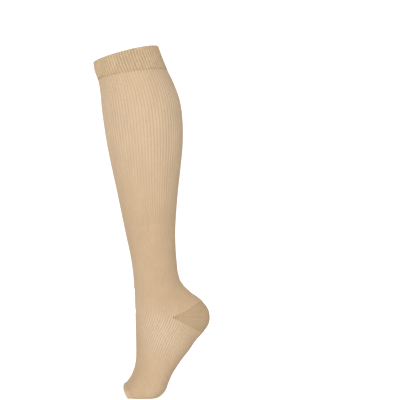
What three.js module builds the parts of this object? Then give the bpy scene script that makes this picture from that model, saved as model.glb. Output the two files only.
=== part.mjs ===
// An open-toe, knee-high compression stocking: a ribbed knitted tube in the form it has when it is worn, with the
// knee end up, the heel lifted and the ball of the foot on the floor.
// Millimetres. x runs from the toe side to the heel side, y across the leg, and z is up.
import * as THREE from "three";

// The knit
const RIB_COUNT = 72; // all round, the same number from the top band to the foot
const RIB_HEIGHT = 0.7;
const WALL = 1.2; // behind the grooves between the ribs
const BAND_WALL = 1.8; // the top band is knitted double
const BAND_PROUD = 0.6; // how far the top band stands out from the leg
const PLAIN_SINK = 0.3; // plain knit lies this far under the crests of the ribs
const SEAM_GAP = 0.3;
const FLOOR_Z = 0;

// How finely a ring is divided
const OUTER_PER_RIB = 2; // a groove and a crest
const RIBS_PER_INNER = 2; // the inside is plain, with a point at every second groove
const OUTER_COUNT = RIB_COUNT * OUTER_PER_RIB;
const INNER_COUNT = RIB_COUNT / RIBS_PER_INNER;
const OUTLINE_STEPS = 144; // points of a section's outline before it is shared out by length
const RIB_END_STEPS = 30; // each step halves what is left to the pocket's edge

// Sections across the form, from the rim down to the toe edge. Seen from the side, a section runs from its front
// point (x, height) to its back point; on the foot these lie on the instep and on the sole. x is measured from
// the front of the ankle. width is across the leg, lean moves the widest place to the back (+) or front (-), and
// square is 2 for an oval back and more for a flat sole.
const SECTIONS = [
  { name: "rim", front: [-62.6, 498.3], back: [33.3, 522.9], width: 104, lean: 0.04, square: 2 },
  { name: "band middle", front: [-60.2, 486.3], back: [39.5, 505.8], width: 105, lean: 0.05, square: 2 },
  { name: "band foot", front: [-56.3, 473.1], back: [47, 488.6], width: 106, lean: 0.06, square: 2 },
  { name: "under knee", front: [-52.8, 454], back: [57.5, 466.8], width: 108, lean: 0.08, square: 2 },
  { name: "upper calf", front: [-50.6, 430], back: [66.8, 440.6], width: 111, lean: 0.1, square: 2 },
  { name: "calf", front: [-47, 403], back: [70.7, 411.3], width: 112, lean: 0.1, square: 2 },
  { name: "lower calf", front: [-41.6, 370], back: [71, 376.8], width: 109, lean: 0.08, square: 2 },
  { name: "calf end", front: [-34.8, 337], back: [68, 343], width: 101, lean: 0.05, square: 2 },
  { name: "mid shin", front: [-27.5, 304], back: [64.2, 309.3], width: 91, lean: 0.02, square: 2 },
  { name: "low shin", front: [-20.7, 271], back: [61.4, 277], width: 81, lean: -0.02, square: 2 },
  { name: "shin end", front: [-13.8, 238], back: [59.7, 245.6], width: 73, lean: -0.05, square: 2 },
  { name: "above ankle", front: [-8.3, 213.3], back: [60.2, 221.6], width: 68, lean: -0.08, square: 2 },
  { name: "ankle", front: [-4.7, 191.6], back: [61.7, 200.6], width: 66, lean: -0.1, square: 2 },
  { name: "low ankle", front: [-2.6, 172], back: [64.2, 181], width: 66.5, lean: -0.12, square: 2 },
  { name: "ankle bones", front: [-1.7, 155.6], back: [69.5, 167.6], width: 68.5, lean: -0.14, square: 2 },
  { name: "heel top", front: [-1, 143.6], back: [82.5, 154.7], width: 70, lean: -0.15, square: 2 },
  { name: "upper heel", front: [-0.6, 134.6], back: [98, 143.3], width: 70, lean: -0.15, square: 2 },
  { name: "heel cup", front: [-0.3, 127.5], back: [109, 129.3], width: 69, lean: -0.15, square: 2 },
  { name: "heel middle", front: [-0.2, 121], back: [111.8, 116.6], width: 68, lean: -0.15, square: 2 },
  { name: "heel base", front: [0, 111.6], back: [109.6, 105.3], width: 67, lean: -0.12, square: 2.1 },
  { name: "heel end", front: [0.2, 101.6], back: [101.3, 93.6], width: 66, lean: -0.08, square: 2.2 },
  { name: "instep", front: [0.5, 91.8], back: [90.5, 81.6], width: 66, lean: -0.03, square: 2.3 },
  { name: "rear arch", front: [0.8, 80.6], back: [80.7, 67.5], width: 67, lean: 0.02, square: 2.4 },
  { name: "arch", front: [0.9, 68.6], back: [70.6, 54.8], width: 69, lean: 0.06, square: 2.5 },
  { name: "front arch", front: [0.8, 56.6], back: [62.4, 43.1], width: 72, lean: 0.1, square: 2.7 },
  { name: "behind ball", front: [-0.5, 46.1], back: [55.3, 31.7], width: 76, lean: 0.12, square: 2.9 },
  { name: "ball rise", front: [-3.2, 37], back: [50.3, 20.6], width: 81, lean: 0.14, square: 3.2 },
  { name: "ball back", front: [-6.2, 30], back: [44.8, 7.8], width: 86, lean: 0.15, square: 3.6 },
  { name: "ball", front: [-8.9, 25.5], back: [32, -1.5], width: 90, lean: 0.15, square: 4 },
  { name: "ball front", front: [-11.9, 21.3], back: [15, -2.5], width: 91, lean: 0.12, square: 4.2 },
  { name: "toe band start", front: [-14.9, 18.3], back: [2.8, -2.5], width: 89, lean: 0.1, square: 4.4 },
  { name: "toe edge", front: [-18, 16.5], back: [-8.5, -2], width: 86, lean: 0.08, square: 4.5 },
];

// The heel pocket is knitted over the back half of the tube. It starts at a point on each side of the ankle and
// is deepest at the back, where it reaches between these places, counted in sections.
const POCKET_SHARE = 0.2585;
const POCKET_BACK_TOP = 16.2;
const POCKET_BACK_END = 19.9;
const POCKET_SIDE = sectionNumber("heel middle");
const POCKET_ROWS = 8;

// Round the heel the ribs move towards the back on the ankle and towards the front on the foot, so they slant on
// the side of the foot. A turn is a rib's own place round the knit, and a share is where it lies round the form.
const RIB_SHIFT = 0.042;
const FOOT_SHIFT = -0.6; // part of the shift, the other way
const SHIFT_START = sectionNumber("calf end");
const SHIFT_FULL = 14.5;
const SHIFT_TURNED = sectionNumber("arch");
const SHIFT_END = sectionNumber("toe band start");
const PEAK_OF_SHIFT = 1.3; // of the sine that spreads the shift round the ring

const knit = new THREE.MeshStandardMaterial({ color: 0xd8b48c, roughness: 0.85, metalness: 0 });
const doubleKnit = new THREE.MeshStandardMaterial({ color: 0xc8a47e, roughness: 0.85, metalness: 0 });
const plainKnit = new THREE.MeshStandardMaterial({ color: 0xb99a78, roughness: 0.8, metalness: 0 });

function sectionNumber(name) {
  return SECTIONS.findIndex((section) => section.name === name);
}

function sectionLine(pointOf) {
  return new THREE.CatmullRomCurve3(SECTIONS.map(pointOf), false, "centripetal");
}

const frontLine = sectionLine(({ front }) => new THREE.Vector3(front[0], 0, front[1]));
const backLine = sectionLine(({ back }) => new THREE.Vector3(back[0], 0, back[1]));
const shapeLine = sectionLine(({ width, lean, square }) => new THREE.Vector3(width, lean, square));

const outlines = new Map();

// The closed outline of the form at a place counted in sections, with the length run to each of its points.
function outlineAt(place) {
  if (outlines.has(place)) return outlines.get(place);
  const share = THREE.MathUtils.clamp(place / (SECTIONS.length - 1), 0, 1);
  const front = frontLine.getPoint(share);
  const back = backLine.getPoint(share);
  const shape = shapeLine.getPoint(share);
  const [width, lean, square] = shape.toArray();
  const middle = front.clone().lerp(back, 0.5);
  const halfDepth = back.clone().sub(middle);
  const points = [];
  for (let step = 0; step <= OUTLINE_STEPS; step += 1) {
    const angle = (2 * Math.PI * step) / OUTLINE_STEPS;
    const backness = (1 - Math.cos(angle)) / 2;
    const power = 2 / THREE.MathUtils.lerp(2, square, backness);
    const along = -Math.sign(Math.cos(angle)) * Math.abs(Math.cos(angle)) ** power;
    const across = Math.sign(Math.sin(angle)) * Math.abs(Math.sin(angle)) ** power * (1 + lean * along);
    const point = middle.clone().addScaledVector(halfDepth, along);
    point.y = (across * width) / 2;
    point.z = Math.max(point.z, FLOOR_Z);
    points.push(point);
  }
  const lengths = [0];
  for (let step = 1; step <= OUTLINE_STEPS; step += 1)
    lengths.push(lengths[step - 1] + points[step].distanceTo(points[step - 1]));
  const outline = { points, lengths };
  outlines.set(place, outline);
  return outline;
}

// A point of the form: share runs once round the outline by length, from the front.
function formPoint(share, place) {
  const { points, lengths } = outlineAt(place);
  const length = THREE.MathUtils.euclideanModulo(share, 1) * lengths[OUTLINE_STEPS];
  let step = 1;
  while (step < OUTLINE_STEPS && lengths[step] < length) step += 1;
  const part = (length - lengths[step - 1]) / (lengths[step] - lengths[step - 1]);
  return points[step - 1].clone().lerp(points[step], part);
}

// The form's outward normal, from its neighbours round the ring and along the tube.
function formNormal(share, place) {
  const shareStep = 1 / OUTER_COUNT;
  const placeStep = 0.1;
  const around = formPoint(share + shareStep, place).sub(formPoint(share - shareStep, place));
  const down = formPoint(share, place + placeStep).sub(formPoint(share, place - placeStep));
  return around.cross(down).normalize();
}

function ribShare(turn, place) {
  const rise = THREE.MathUtils.smoothstep(place, SHIFT_START, SHIFT_FULL);
  const fall = THREE.MathUtils.smoothstep(place, SHIFT_FULL, SHIFT_TURNED);
  const rest = THREE.MathUtils.smoothstep(place, SHIFT_TURNED, SHIFT_END);
  const amount = rise + (FOOT_SHIFT - 1) * fall - FOOT_SHIFT * rest;
  const angle = 2 * Math.PI * turn;
  return turn + (RIB_SHIFT * amount * Math.sin(angle) * (1 + Math.cos(angle))) / PEAK_OF_SHIFT;
}

function clothPoint(share, place, outward) {
  const point = formPoint(share, place).addScaledVector(formNormal(share, place), outward);
  point.z = Math.max(point.z, FLOOR_Z);
  return point;
}

// Moves a piece's edge back from the seam, towards the next row.
function drawBack(edge, next) {
  edge.forEach((point, index) => {
    const inward = next[index].clone().sub(point).normalize();
    point.addScaledVector(inward, SEAM_GAP / 2);
  });
}

function drawBackEnds(rows, atStart, atEnd) {
  if (atStart) drawBack(rows[0], rows[1]);
  if (atEnd) drawBack(rows.at(-1), rows.at(-2));
}

function closedMesh(name, material, points, triangles) {
  const geometry = new THREE.BufferGeometry().setFromPoints(points);
  geometry.setIndex(triangles.flat());
  geometry.computeVertexNormals();
  const mesh = new THREE.Mesh(geometry, material);
  mesh.name = name;
  return mesh;
}

// A tube of cloth. from and to give its two edges, in sections, for each turn.
function tube({ name, material, from, to, rowCount, proud, wall, ribHeight, seams }) {
  const outerRows = [];
  const innerRows = [];
  for (let row = 0; row <= rowCount; row += 1) {
    const pointAt = (turn, outward) => {
      const place = THREE.MathUtils.lerp(from(turn), to(turn), row / rowCount);
      return clothPoint(ribShare(turn, place), place, outward);
    };
    const outer = [];
    const inner = [];
    for (let index = 0; index < OUTER_COUNT; index += 1) {
      const groove = index % OUTER_PER_RIB === 0 ? ribHeight : 0;
      outer.push(pointAt(index / OUTER_COUNT, proud - groove));
    }
    for (let index = 0; index < INNER_COUNT; index += 1)
      inner.push(pointAt(index / INNER_COUNT, proud - ribHeight - wall));
    outerRows.push(outer);
    innerRows.push(inner);
  }
  drawBackEnds(outerRows, ...seams);
  drawBackEnds(innerRows, ...seams);

  const innerStart = outerRows.length * OUTER_COUNT;
  const outerAt = (row, index) => row * OUTER_COUNT + (index % OUTER_COUNT);
  const innerAt = (row, index) => innerStart + row * INNER_COUNT + (index % INNER_COUNT);
  const triangles = [];
  for (let row = 0; row < rowCount; row += 1) {
    for (let index = 0; index < OUTER_COUNT; index += 1) {
      const [a, b] = [outerAt(row, index), outerAt(row, index + 1)];
      const [c, d] = [outerAt(row + 1, index), outerAt(row + 1, index + 1)];
      triangles.push([a, b, c], [b, d, c]);
    }
    for (let index = 0; index < INNER_COUNT; index += 1) {
      const [a, b] = [innerAt(row, index), innerAt(row, index + 1)];
      const [c, d] = [innerAt(row + 1, index), innerAt(row + 1, index + 1)];
      triangles.push([a, c, b], [b, c, d]);
    }
  }
  const outerPerInner = OUTER_COUNT / INNER_COUNT;
  for (let index = 0; index < INNER_COUNT; index += 1) {
    for (const [row, isTop] of [[0, true], [rowCount, false]]) {
      const fan = [];
      for (let part = 0; part < outerPerInner; part += 1) {
        const place = index * outerPerInner + part;
        const inner = innerAt(row, part < outerPerInner / 2 ? index : index + 1);
        fan.push([inner, outerAt(row, place), outerAt(row, place + 1)]);
      }
      fan.push([innerAt(row, index), outerAt(row, (index + 0.5) * outerPerInner), innerAt(row, index + 1)]);
      triangles.push(...fan.map(([a, b, c]) => (isTop ? [a, c, b] : [a, b, c])));
    }
  }
  return closedMesh(name, material, [...outerRows.flat(), ...innerRows.flat()], triangles);
}

// The edge of the pocket at a share round the ring: on the front half the two edges lie together.
function pocketEdge(backPlace) {
  return (share) => {
    const backness = Math.max(1 - Math.abs(share - 0.5) / (0.5 - POCKET_SHARE), 0);
    return THREE.MathUtils.lerp(POCKET_SIDE, backPlace, Math.sin((backness * Math.PI) / 2));
  };
}

// The place at which the rib with this turn meets an edge of the pocket, closed in on step by step.
function ribEnd(edge) {
  return (turn) => {
    let place = POCKET_SIDE;
    for (let step = 0; step < RIB_END_STEPS; step += 1) place = (place + edge(ribShare(turn, place))) / 2;
    return place;
  };
}

const pocketTop = pocketEdge(POCKET_BACK_TOP);
const pocketEnd = pocketEdge(POCKET_BACK_END);

// The heel pocket: a curved patch of plain knit, closed along its four edges.
function heelPocket() {
  const columnCount = RIB_COUNT / 2 - 1;
  const rowCount = POCKET_ROWS;
  const grid = (outward) => {
    const rows = [];
    for (let row = 0; row <= rowCount; row += 1) {
      const points = [];
      for (let column = 0; column <= columnCount; column += 1) {
        const part = (column + 0.5) / (columnCount + 1); // it starts half a rib in from each side point
        const share = THREE.MathUtils.lerp(POCKET_SHARE, 1 - POCKET_SHARE, part);
        const place = THREE.MathUtils.lerp(pocketTop(share), pocketEnd(share), row / rowCount);
        points.push(clothPoint(share, place, outward));
      }
      rows.push(points);
    }
    drawBackEnds(rows, true, true);
    return rows;
  };
  const outerRows = grid(-PLAIN_SINK);
  const innerRows = grid(-RIB_HEIGHT - WALL);
  const perRow = columnCount + 1;
  const innerStart = (rowCount + 1) * perRow;
  const outerAt = (row, column) => row * perRow + column;
  const triangles = [];
  const quad = (a, b, c, d) => triangles.push([a, b, c], [a, c, d]);
  for (let row = 0; row < rowCount; row += 1) {
    for (let column = 0; column < columnCount; column += 1) {
      const corners = [
        outerAt(row, column),
        outerAt(row, column + 1),
        outerAt(row + 1, column + 1),
        outerAt(row + 1, column),
      ];
      quad(...corners);
      quad(...corners.map((corner) => corner + innerStart).reverse());
    }
  }
  const closeEdge = (first, second) => quad(first, first + innerStart, second + innerStart, second);
  for (let column = 0; column < columnCount; column += 1) {
    closeEdge(outerAt(0, column), outerAt(0, column + 1));
    closeEdge(outerAt(rowCount, column + 1), outerAt(rowCount, column));
  }
  for (let row = 0; row < rowCount; row += 1) {
    closeEdge(outerAt(row + 1, 0), outerAt(row, 0));
    closeEdge(outerAt(row, columnCount), outerAt(row + 1, columnCount));
  }
  return closedMesh("heel", plainKnit, [...outerRows.flat(), ...innerRows.flat()], triangles);
}

const stocking = new THREE.Group();

stocking.add(
  tube({
    name: "top_band",
    material: doubleKnit,
    from: () => sectionNumber("rim"),
    to: () => sectionNumber("band foot"),
    rowCount: 4,
    proud: BAND_PROUD,
    wall: BAND_WALL,
    ribHeight: RIB_HEIGHT,
    seams: [false, true],
  }),
  tube({
    name: "leg",
    material: knit,
    from: () => sectionNumber("band foot"),
    to: ribEnd(pocketTop),
    rowCount: 15,
    proud: 0,
    wall: WALL,
    ribHeight: RIB_HEIGHT,
    seams: [true, true],
  }),
  heelPocket(),
  tube({
    name: "foot",
    material: knit,
    from: ribEnd(pocketEnd),
    to: () => sectionNumber("toe band start"),
    rowCount: 12,
    proud: 0,
    wall: WALL,
    ribHeight: RIB_HEIGHT,
    seams: [true, true],
  }),
  tube({
    name: "toe_band",
    material: plainKnit,
    from: () => sectionNumber("toe band start"),
    to: () => sectionNumber("toe edge"),
    rowCount: 2,
    proud: -PLAIN_SINK,
    wall: WALL,
    ribHeight: 0,
    seams: [true, false],
  }),
);

// The origin is the middle of the opening at the rim, where the leg that wears the stocking holds it up.
const openingMiddle = frontLine.getPoint(0).lerp(backLine.getPoint(0), 0.5);
stocking.position.copy(openingMiddle).negate();

const part = new THREE.Group();
part.add(stocking);

export default part;
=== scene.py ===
"""The looks of an open-toe, knee-high compression stocking: ribbed knit, band, heel pocket, stitching."""

import math

import bpy
import numpy as np
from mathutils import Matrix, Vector


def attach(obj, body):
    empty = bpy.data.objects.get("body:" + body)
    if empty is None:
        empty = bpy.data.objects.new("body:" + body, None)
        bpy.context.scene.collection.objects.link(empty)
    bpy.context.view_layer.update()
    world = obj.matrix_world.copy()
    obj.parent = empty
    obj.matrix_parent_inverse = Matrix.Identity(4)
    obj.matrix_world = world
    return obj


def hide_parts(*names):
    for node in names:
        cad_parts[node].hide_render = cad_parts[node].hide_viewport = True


bl_info = {
    "name": "Compression stocking",
    "version": (1, 0, 0),
    "blender": (4, 5, 0),
    "location": "3D View > Sidebar > Stocking",
    "description": "Makes a ribbed open-toe compression stocking as worn, with its band, heel and stitching",
    "category": "Object",
}

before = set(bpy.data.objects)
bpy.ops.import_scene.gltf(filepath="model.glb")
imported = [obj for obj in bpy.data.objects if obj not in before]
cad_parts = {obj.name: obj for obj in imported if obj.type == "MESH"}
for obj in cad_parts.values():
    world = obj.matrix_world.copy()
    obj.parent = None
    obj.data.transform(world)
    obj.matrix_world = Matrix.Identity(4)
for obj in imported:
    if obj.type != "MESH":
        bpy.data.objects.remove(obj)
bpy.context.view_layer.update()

MM = 0.001
BODY = "root"

# The form of the worn stocking, section by section from the rim to the toe edge, in millimetres: the
# front point and the back point of a section seen from the side (x, height), its width across the leg,
# where it is widest (lean, towards the back when positive) and how square its back is. It is the form of
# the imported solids.
# Columns: name, front x, front height, back x, back height, width, lean, square
SECTIONS = (
    ("rim", -62.6, 498.3, 33.3, 522.9, 104, 0.04, 2),
    ("band middle", -60.2, 486.3, 39.5, 505.8, 105, 0.05, 2),
    ("band foot", -56.3, 473.1, 47, 488.6, 106, 0.06, 2),
    ("under knee", -52.8, 454, 57.5, 466.8, 108, 0.08, 2),
    ("upper calf", -50.6, 430, 66.8, 440.6, 111, 0.1, 2),
    ("calf", -47, 403, 70.7, 411.3, 112, 0.1, 2),
    ("lower calf", -41.6, 370, 71, 376.8, 109, 0.08, 2),
    ("calf end", -34.8, 337, 68, 343, 101, 0.05, 2),
    ("mid shin", -27.5, 304, 64.2, 309.3, 91, 0.02, 2),
    ("low shin", -20.7, 271, 61.4, 277, 81, -0.02, 2),
    ("shin end", -13.8, 238, 59.7, 245.6, 73, -0.05, 2),
    ("above ankle", -8.3, 213.3, 60.2, 221.6, 68, -0.08, 2),
    ("ankle", -4.7, 191.6, 61.7, 200.6, 66, -0.1, 2),
    ("low ankle", -2.6, 172, 64.2, 181, 66.5, -0.12, 2),
    ("ankle bones", -1.7, 155.6, 69.5, 167.6, 68.5, -0.14, 2),
    ("heel top", -1, 143.6, 82.5, 154.7, 70, -0.15, 2),
    ("upper heel", -0.6, 134.6, 98, 143.3, 70, -0.15, 2),
    ("heel cup", -0.3, 127.5, 109, 129.3, 69, -0.15, 2),
    ("heel middle", -0.2, 121, 111.8, 116.6, 68, -0.15, 2),
    ("heel base", 0, 111.6, 109.6, 105.3, 67, -0.12, 2.1),
    ("heel end", 0.2, 101.6, 101.3, 93.6, 66, -0.08, 2.2),
    ("instep", 0.5, 91.8, 90.5, 81.6, 66, -0.03, 2.3),
    ("rear arch", 0.8, 80.6, 80.7, 67.5, 67, 0.02, 2.4),
    ("arch", 0.9, 68.6, 70.6, 54.8, 69, 0.06, 2.5),
    ("front arch", 0.8, 56.6, 62.4, 43.1, 72, 0.1, 2.7),
    ("behind ball", -0.5, 46.1, 55.3, 31.7, 76, 0.12, 2.9),
    ("ball rise", -3.2, 37, 50.3, 20.6, 81, 0.14, 3.2),
    ("ball back", -6.2, 30, 44.8, 7.8, 86, 0.15, 3.6),
    ("ball", -8.9, 25.5, 32, -1.5, 90, 0.15, 4),
    ("ball front", -11.9, 21.3, 15, -2.5, 91, 0.12, 4.2),
    ("toe band start", -14.9, 18.3, 2.8, -2.5, 89, 0.1, 4.4),
    ("toe edge", -18, 16.5, -8.5, -2, 86, 0.08, 4.5),
)
SECTION_NAMES = [row[0] for row in SECTIONS]
TABLE = np.array([row[1:] for row in SECTIONS], float)
OPENING_MIDDLE = Vector(((TABLE[0, 0] + TABLE[0, 2]) / 2, 0, (TABLE[0, 1] + TABLE[0, 3]) / 2)) * MM
FLOOR_Z = -OPENING_MIDDLE.z

# The heel pocket lies over the back half of the tube, deepest at the back.
POCKET_SHARE = 0.2585
POCKET_BACK_TOP = 16.2
POCKET_BACK_END = 19.9

# Round the heel the ribs move towards the back on the ankle and towards the front on the foot, so they
# slant on the side of the foot. A turn is a rib's own place round the knit, and a share is where it lies
# round the form.
RIB_SHIFT = 0.042
FOOT_SHIFT = -0.6  # part of the shift, the other way
SHIFT_START, SHIFT_FULL, SHIFT_TURNED, SHIFT_END = 7, 14.5, 23, 30
PEAK_OF_SHIFT = 1.3  # of the sine that spreads the shift round the ring

# How finely the form and the cloth are divided
PLACE_STEPS = 12
OUTLINE_STEPS = 288
FORM_COLUMNS = 864
POINTS_PER_RIB = 6
RIB_END_STEPS = 30  # each step halves what is left to the pocket's edge
FULL_RIB = 5.0 * MM  # a rib this wide is stretched as on the calf, and stands out fully
LEAST_RIB, MOST_RIB = 0.35, 1.1
STRETCHED_TONE = 0.4  # how pale the knit is where its ribs stand out most

# On both sides of the foot, under the ankle, the knit is stretched most: its ribs stand out, and it is
# painted paler, partly as stretched knit and partly as painted light falling on those sides.
PULLED_SHARE, PULLED_SPAN = 0.21, 0.11
PULLED_PLACE, PULLED_LENGTH = 20.3, 2.4
PULLED_RIB = 1.6  # added to the strength of the ribs there
# How much paler it is painted there: partly the stretched knit's own colour, partly painted light
PULLED_TONE_AND_LIGHT = 0.8

# Mottling of the yarn. Its fine patches are a few stitches of real knit, drawn as wide as the photograph
# can show.
FINE_PATCH = 1.9 * MM
BROAD_PATCH = 17 * MM
PATCH_LENGTH = 0.45  # along z the patches are longer by one over this

# Soft creases of the worn cloth. share is counted round the ring from the front, where 0.5 is the back,
# and place along the tube in sections. slant is how many sections a crease drops over one turn.
# Columns: share, half length, place, half width, depth in mm, slant
CREASES = (
    (0.0, 0.11, 28.35, 0.22, 0.75, 0.0),
    (0.03, 0.09, 29.05, 0.2, 0.55, 1.5),
    (-0.04, 0.08, 27.6, 0.25, 0.5, -2.0),
    (0.10, 0.06, 27.9, 0.2, 0.45, 5.0),
    (-0.11, 0.07, 28.2, 0.2, 0.5, -4.0),
    (0.02, 0.1, 17.2, 0.45, 0.35, 0.0),
    (-0.03, 0.08, 14.6, 0.35, 0.3, 1.0),
    (0.5, 0.1, 13.6, 0.22, 0.35, 0.0),
    (0.47, 0.08, 14.35, 0.2, 0.3, 2.0),
    (0.53, 0.09, 12.7, 0.25, 0.25, -2.0),
)

# The lines that the short rows leave on the pocket, fanning out from its side points: sunk into the cloth,
# with painted shade in them and painted highlight on the ridges beside them
# Columns: share of the rows, half width, depth in mm, reach from the side points towards the back
FAN_LINES = (
    (0.12, 0.025, 0.10, 0.6),
    (0.25, 0.024, 0.16, 0.8),
    (0.38, 0.02, 0.12, 0.55),
    (0.49, 0.022, 0.2, 0.95),
    (0.62, 0.022, 0.14, 0.7),
    (0.76, 0.024, 0.12, 0.55),
    (0.88, 0.025, 0.08, 0.5),
)

CREASE_RIDGE = 0.45  # the cloth rises beside a crease by this share of its depth
CREASE_RIDGE_PLACE = 1.9  # in half widths of the crease


def linear(hex_colour):
    """An sRGB hex colour as linear red, green and blue."""
    parts = [int(hex_colour[place:place + 2], 16) / 255 for place in (1, 3, 5)]
    return tuple(part / 12.92 if part <= 0.04045 else ((part + 0.055) / 1.055) ** 2.4 for part in parts)


class StockingSizes(bpy.types.PropertyGroup):
    """Sizes of the knit."""

    rib_count: bpy.props.IntProperty(
        name="Ribs", description="Ribs all round, from the band to the toe edge", default=72, min=24,
        max=200)
    rib_height: bpy.props.FloatProperty(
        name="Rib height", description="How far a rib stands out from its grooves", default=0.7 * MM,
        min=0, subtype="DISTANCE", unit="LENGTH")
    band_rib_height: bpy.props.FloatProperty(
        name="Band rib height", description="The same on the doubled band", default=1.3 * MM,
        min=0, subtype="DISTANCE", unit="LENGTH")
    wall: bpy.props.FloatProperty(
        name="Wall", description="Thickness of the knit under its grooves", default=1.2 * MM,
        min=0.0004, subtype="DISTANCE", unit="LENGTH")
    band_wall: bpy.props.FloatProperty(
        name="Band wall", description="Thickness of the doubled band under its grooves", default=1.8 * MM,
        min=0.0004, subtype="DISTANCE", unit="LENGTH")
    band_proud: bpy.props.FloatProperty(
        name="Band step", description="How far the band stands out from the leg", default=0.6 * MM,
        min=0, subtype="DISTANCE", unit="LENGTH")
    course: bpy.props.FloatProperty(
        name="Course", description="Height of one row of stitches, as drawn", default=2.2 * MM,
        min=0.0005, subtype="DISTANCE", unit="LENGTH")
    stitch: bpy.props.FloatProperty(
        name="Seam stitch", description="Length of one stitch of the band's seam", default=3.0 * MM,
        min=0.001, subtype="DISTANCE", unit="LENGTH")


class StockingColours(bpy.types.PropertyGroup):
    """Colours of the yarns."""

    leg: bpy.props.FloatVectorProperty(
        name="Leg", description="Rib knit where it is hardly stretched",
        size=3, subtype="COLOR", min=0, max=1, default=linear("#CCB08F"))
    # The pale end of the knit's tone: stretched knit, and painted light on the sides of the foot
    leg_stretched_and_lit: bpy.props.FloatVectorProperty(
        name="Stretched leg", description="Rib knit where it is stretched, which looks paler",
        size=3, subtype="COLOR", min=0, max=1, default=linear("#E6CFB2"))
    band: bpy.props.FloatVectorProperty(
        name="Band", description="Doubled knit on the inside of the band",
        size=3, subtype="COLOR", min=0, max=1, default=linear("#B99C7E"))
    band_stretched: bpy.props.FloatVectorProperty(
        name="Outside of the band", description="Doubled knit on the ribbed outside",
        size=3, subtype="COLOR", min=0, max=1, default=linear("#D1B795"))
    # The heel is painted between these two: the darker is painted shade in the lines of its short rows, the
    # paler is painted highlight on the ridges between them; its plain knit lies halfway
    heel: bpy.props.FloatVectorProperty(
        name="Heel", description="Plain knit of the heel, in the lines of its short rows",
        size=3, subtype="COLOR", min=0, max=1, default=linear("#B39575"))
    heel_ridge_highlight: bpy.props.FloatVectorProperty(
        name="Heel ridges", description="Plain knit of the heel, on the ridges between those lines",
        size=3, subtype="COLOR", min=0, max=1, default=linear("#D6BB98"))
    thread: bpy.props.FloatVectorProperty(
        name="Thread", description="Thread of the seams",
        size=3, subtype="COLOR", min=0, max=1, default=linear("#BC9F7F"))


class StudioSizes(bpy.types.PropertyGroup):
    """The camera and the lights."""

    distance: bpy.props.FloatProperty(
        name="Camera distance", description="From the camera to the middle plane of the leg", default=2.0,
        min=0.5, subtype="DISTANCE", unit="LENGTH")
    view_width: bpy.props.FloatProperty(
        name="View width", description="Width of the view at the leg", default=0.6,
        min=0.1, subtype="DISTANCE", unit="LENGTH")
    key_power: bpy.props.FloatProperty(
        name="Key light", description="Power of the soft light at the front", default=26.0, min=0,
        subtype="POWER")
    fill_power: bpy.props.FloatProperty(
        name="Fill light", description="Power of the soft light at the right", default=2.0, min=0,
        subtype="POWER")
    back_power: bpy.props.FloatProperty(
        name="Back light", description="Power of the soft light behind, for the hidden side", default=14.0,
        min=0, subtype="POWER")


def section(name):
    return SECTION_NAMES.index(name)


def through(points, places):
    """The centripetal Catmull-Rom curve through points, at places counted from the first of them."""
    first = np.clip(np.floor(places).astype(int), 0, len(points) - 2)
    part = (places - first)[:, None]
    padded = np.vstack([2 * points[0] - points[1], points, 2 * points[-1] - points[-2]])
    before, here, there, after = (padded[first + step] for step in range(4))
    gap_before, gap, gap_after = (
        np.sqrt(np.linalg.norm(end - start, axis=1, keepdims=True)).clip(1e-4)
        for start, end in ((before, here), (here, there), (there, after))
    )
    leave = (here - before) / gap_before - (there - before) / (gap_before + gap) + (there - here) / gap
    arrive = (there - here) / gap - (after - here) / (gap + gap_after) + (after - there) / gap_after
    leave, arrive = leave * gap, arrive * gap
    squared = -3 * here + 3 * there - 2 * leave - arrive
    cubed = 2 * here - 2 * there + leave + arrive
    return here + part * (leave + part * (squared + part * cubed))


def make_form():
    """Points and outward normals of the form, a row for each step along the tube and a column round it."""
    last = len(SECTIONS) - 1
    places = np.linspace(0, last, last * PLACE_STEPS + 1)
    front = through(TABLE[:, 0:2], places)
    back = through(TABLE[:, 2:4], places)
    width, lean, square = (column[:, None] for column in through(TABLE[:, 4:7], places).T)
    angle = np.linspace(0, 2 * np.pi, OUTLINE_STEPS + 1)[None, :]
    power = 2 / (2 + (square - 2) * (1 - np.cos(angle)) / 2)
    along = -np.sign(np.cos(angle)) * np.abs(np.cos(angle)) ** power
    across = np.sign(np.sin(angle)) * np.abs(np.sin(angle)) ** power * (1 + lean * along)
    middle = (front + back) / 2
    half = (back - front) / 2
    outline = np.stack([
        middle[:, :1] + half[:, :1] * along,
        across * width / 2,
        np.maximum(middle[:, 1:] + half[:, 1:] * along, 0),
    ], axis=2)
    shares = np.arange(FORM_COLUMNS) / FORM_COLUMNS
    points = np.empty((len(places), FORM_COLUMNS, 3))
    for row, ring in enumerate(outline):
        run = np.concatenate([[0], np.cumsum(np.linalg.norm(np.diff(ring, axis=0), axis=1))])
        for axis in range(3):
            points[row, :, axis] = np.interp(shares * run[-1], run, ring[:, axis])
    around = np.roll(points, -1, axis=1) - np.roll(points, 1, axis=1)
    down = np.gradient(points, axis=0)
    normals = np.cross(around, down)
    normals /= np.linalg.norm(normals, axis=2, keepdims=True)
    points = points * MM - np.array(OPENING_MIDDLE)
    return np.concatenate([points, normals], axis=2)


FORM = make_form()


def on_form(shares, places):
    """Points and outward normals of the form at shares round the ring and places along the tube."""
    row = np.clip(places * PLACE_STEPS, 0, len(FORM) - 1)
    column = (shares % 1) * FORM_COLUMNS
    row_0 = np.minimum(row.astype(int), len(FORM) - 2)
    column_0 = column.astype(int) % FORM_COLUMNS
    column_1 = (column_0 + 1) % FORM_COLUMNS
    row_part = (row - row_0)[..., None]
    column_part = (column - np.floor(column))[..., None]
    upper = FORM[row_0, column_0] * (1 - column_part) + FORM[row_0, column_1] * column_part
    lower = FORM[row_0 + 1, column_0] * (1 - column_part) + FORM[row_0 + 1, column_1] * column_part
    mixed = upper * (1 - row_part) + lower * row_part
    points, normals = mixed[..., :3], mixed[..., 3:]
    return points, normals / np.linalg.norm(normals, axis=-1, keepdims=True)


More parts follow.
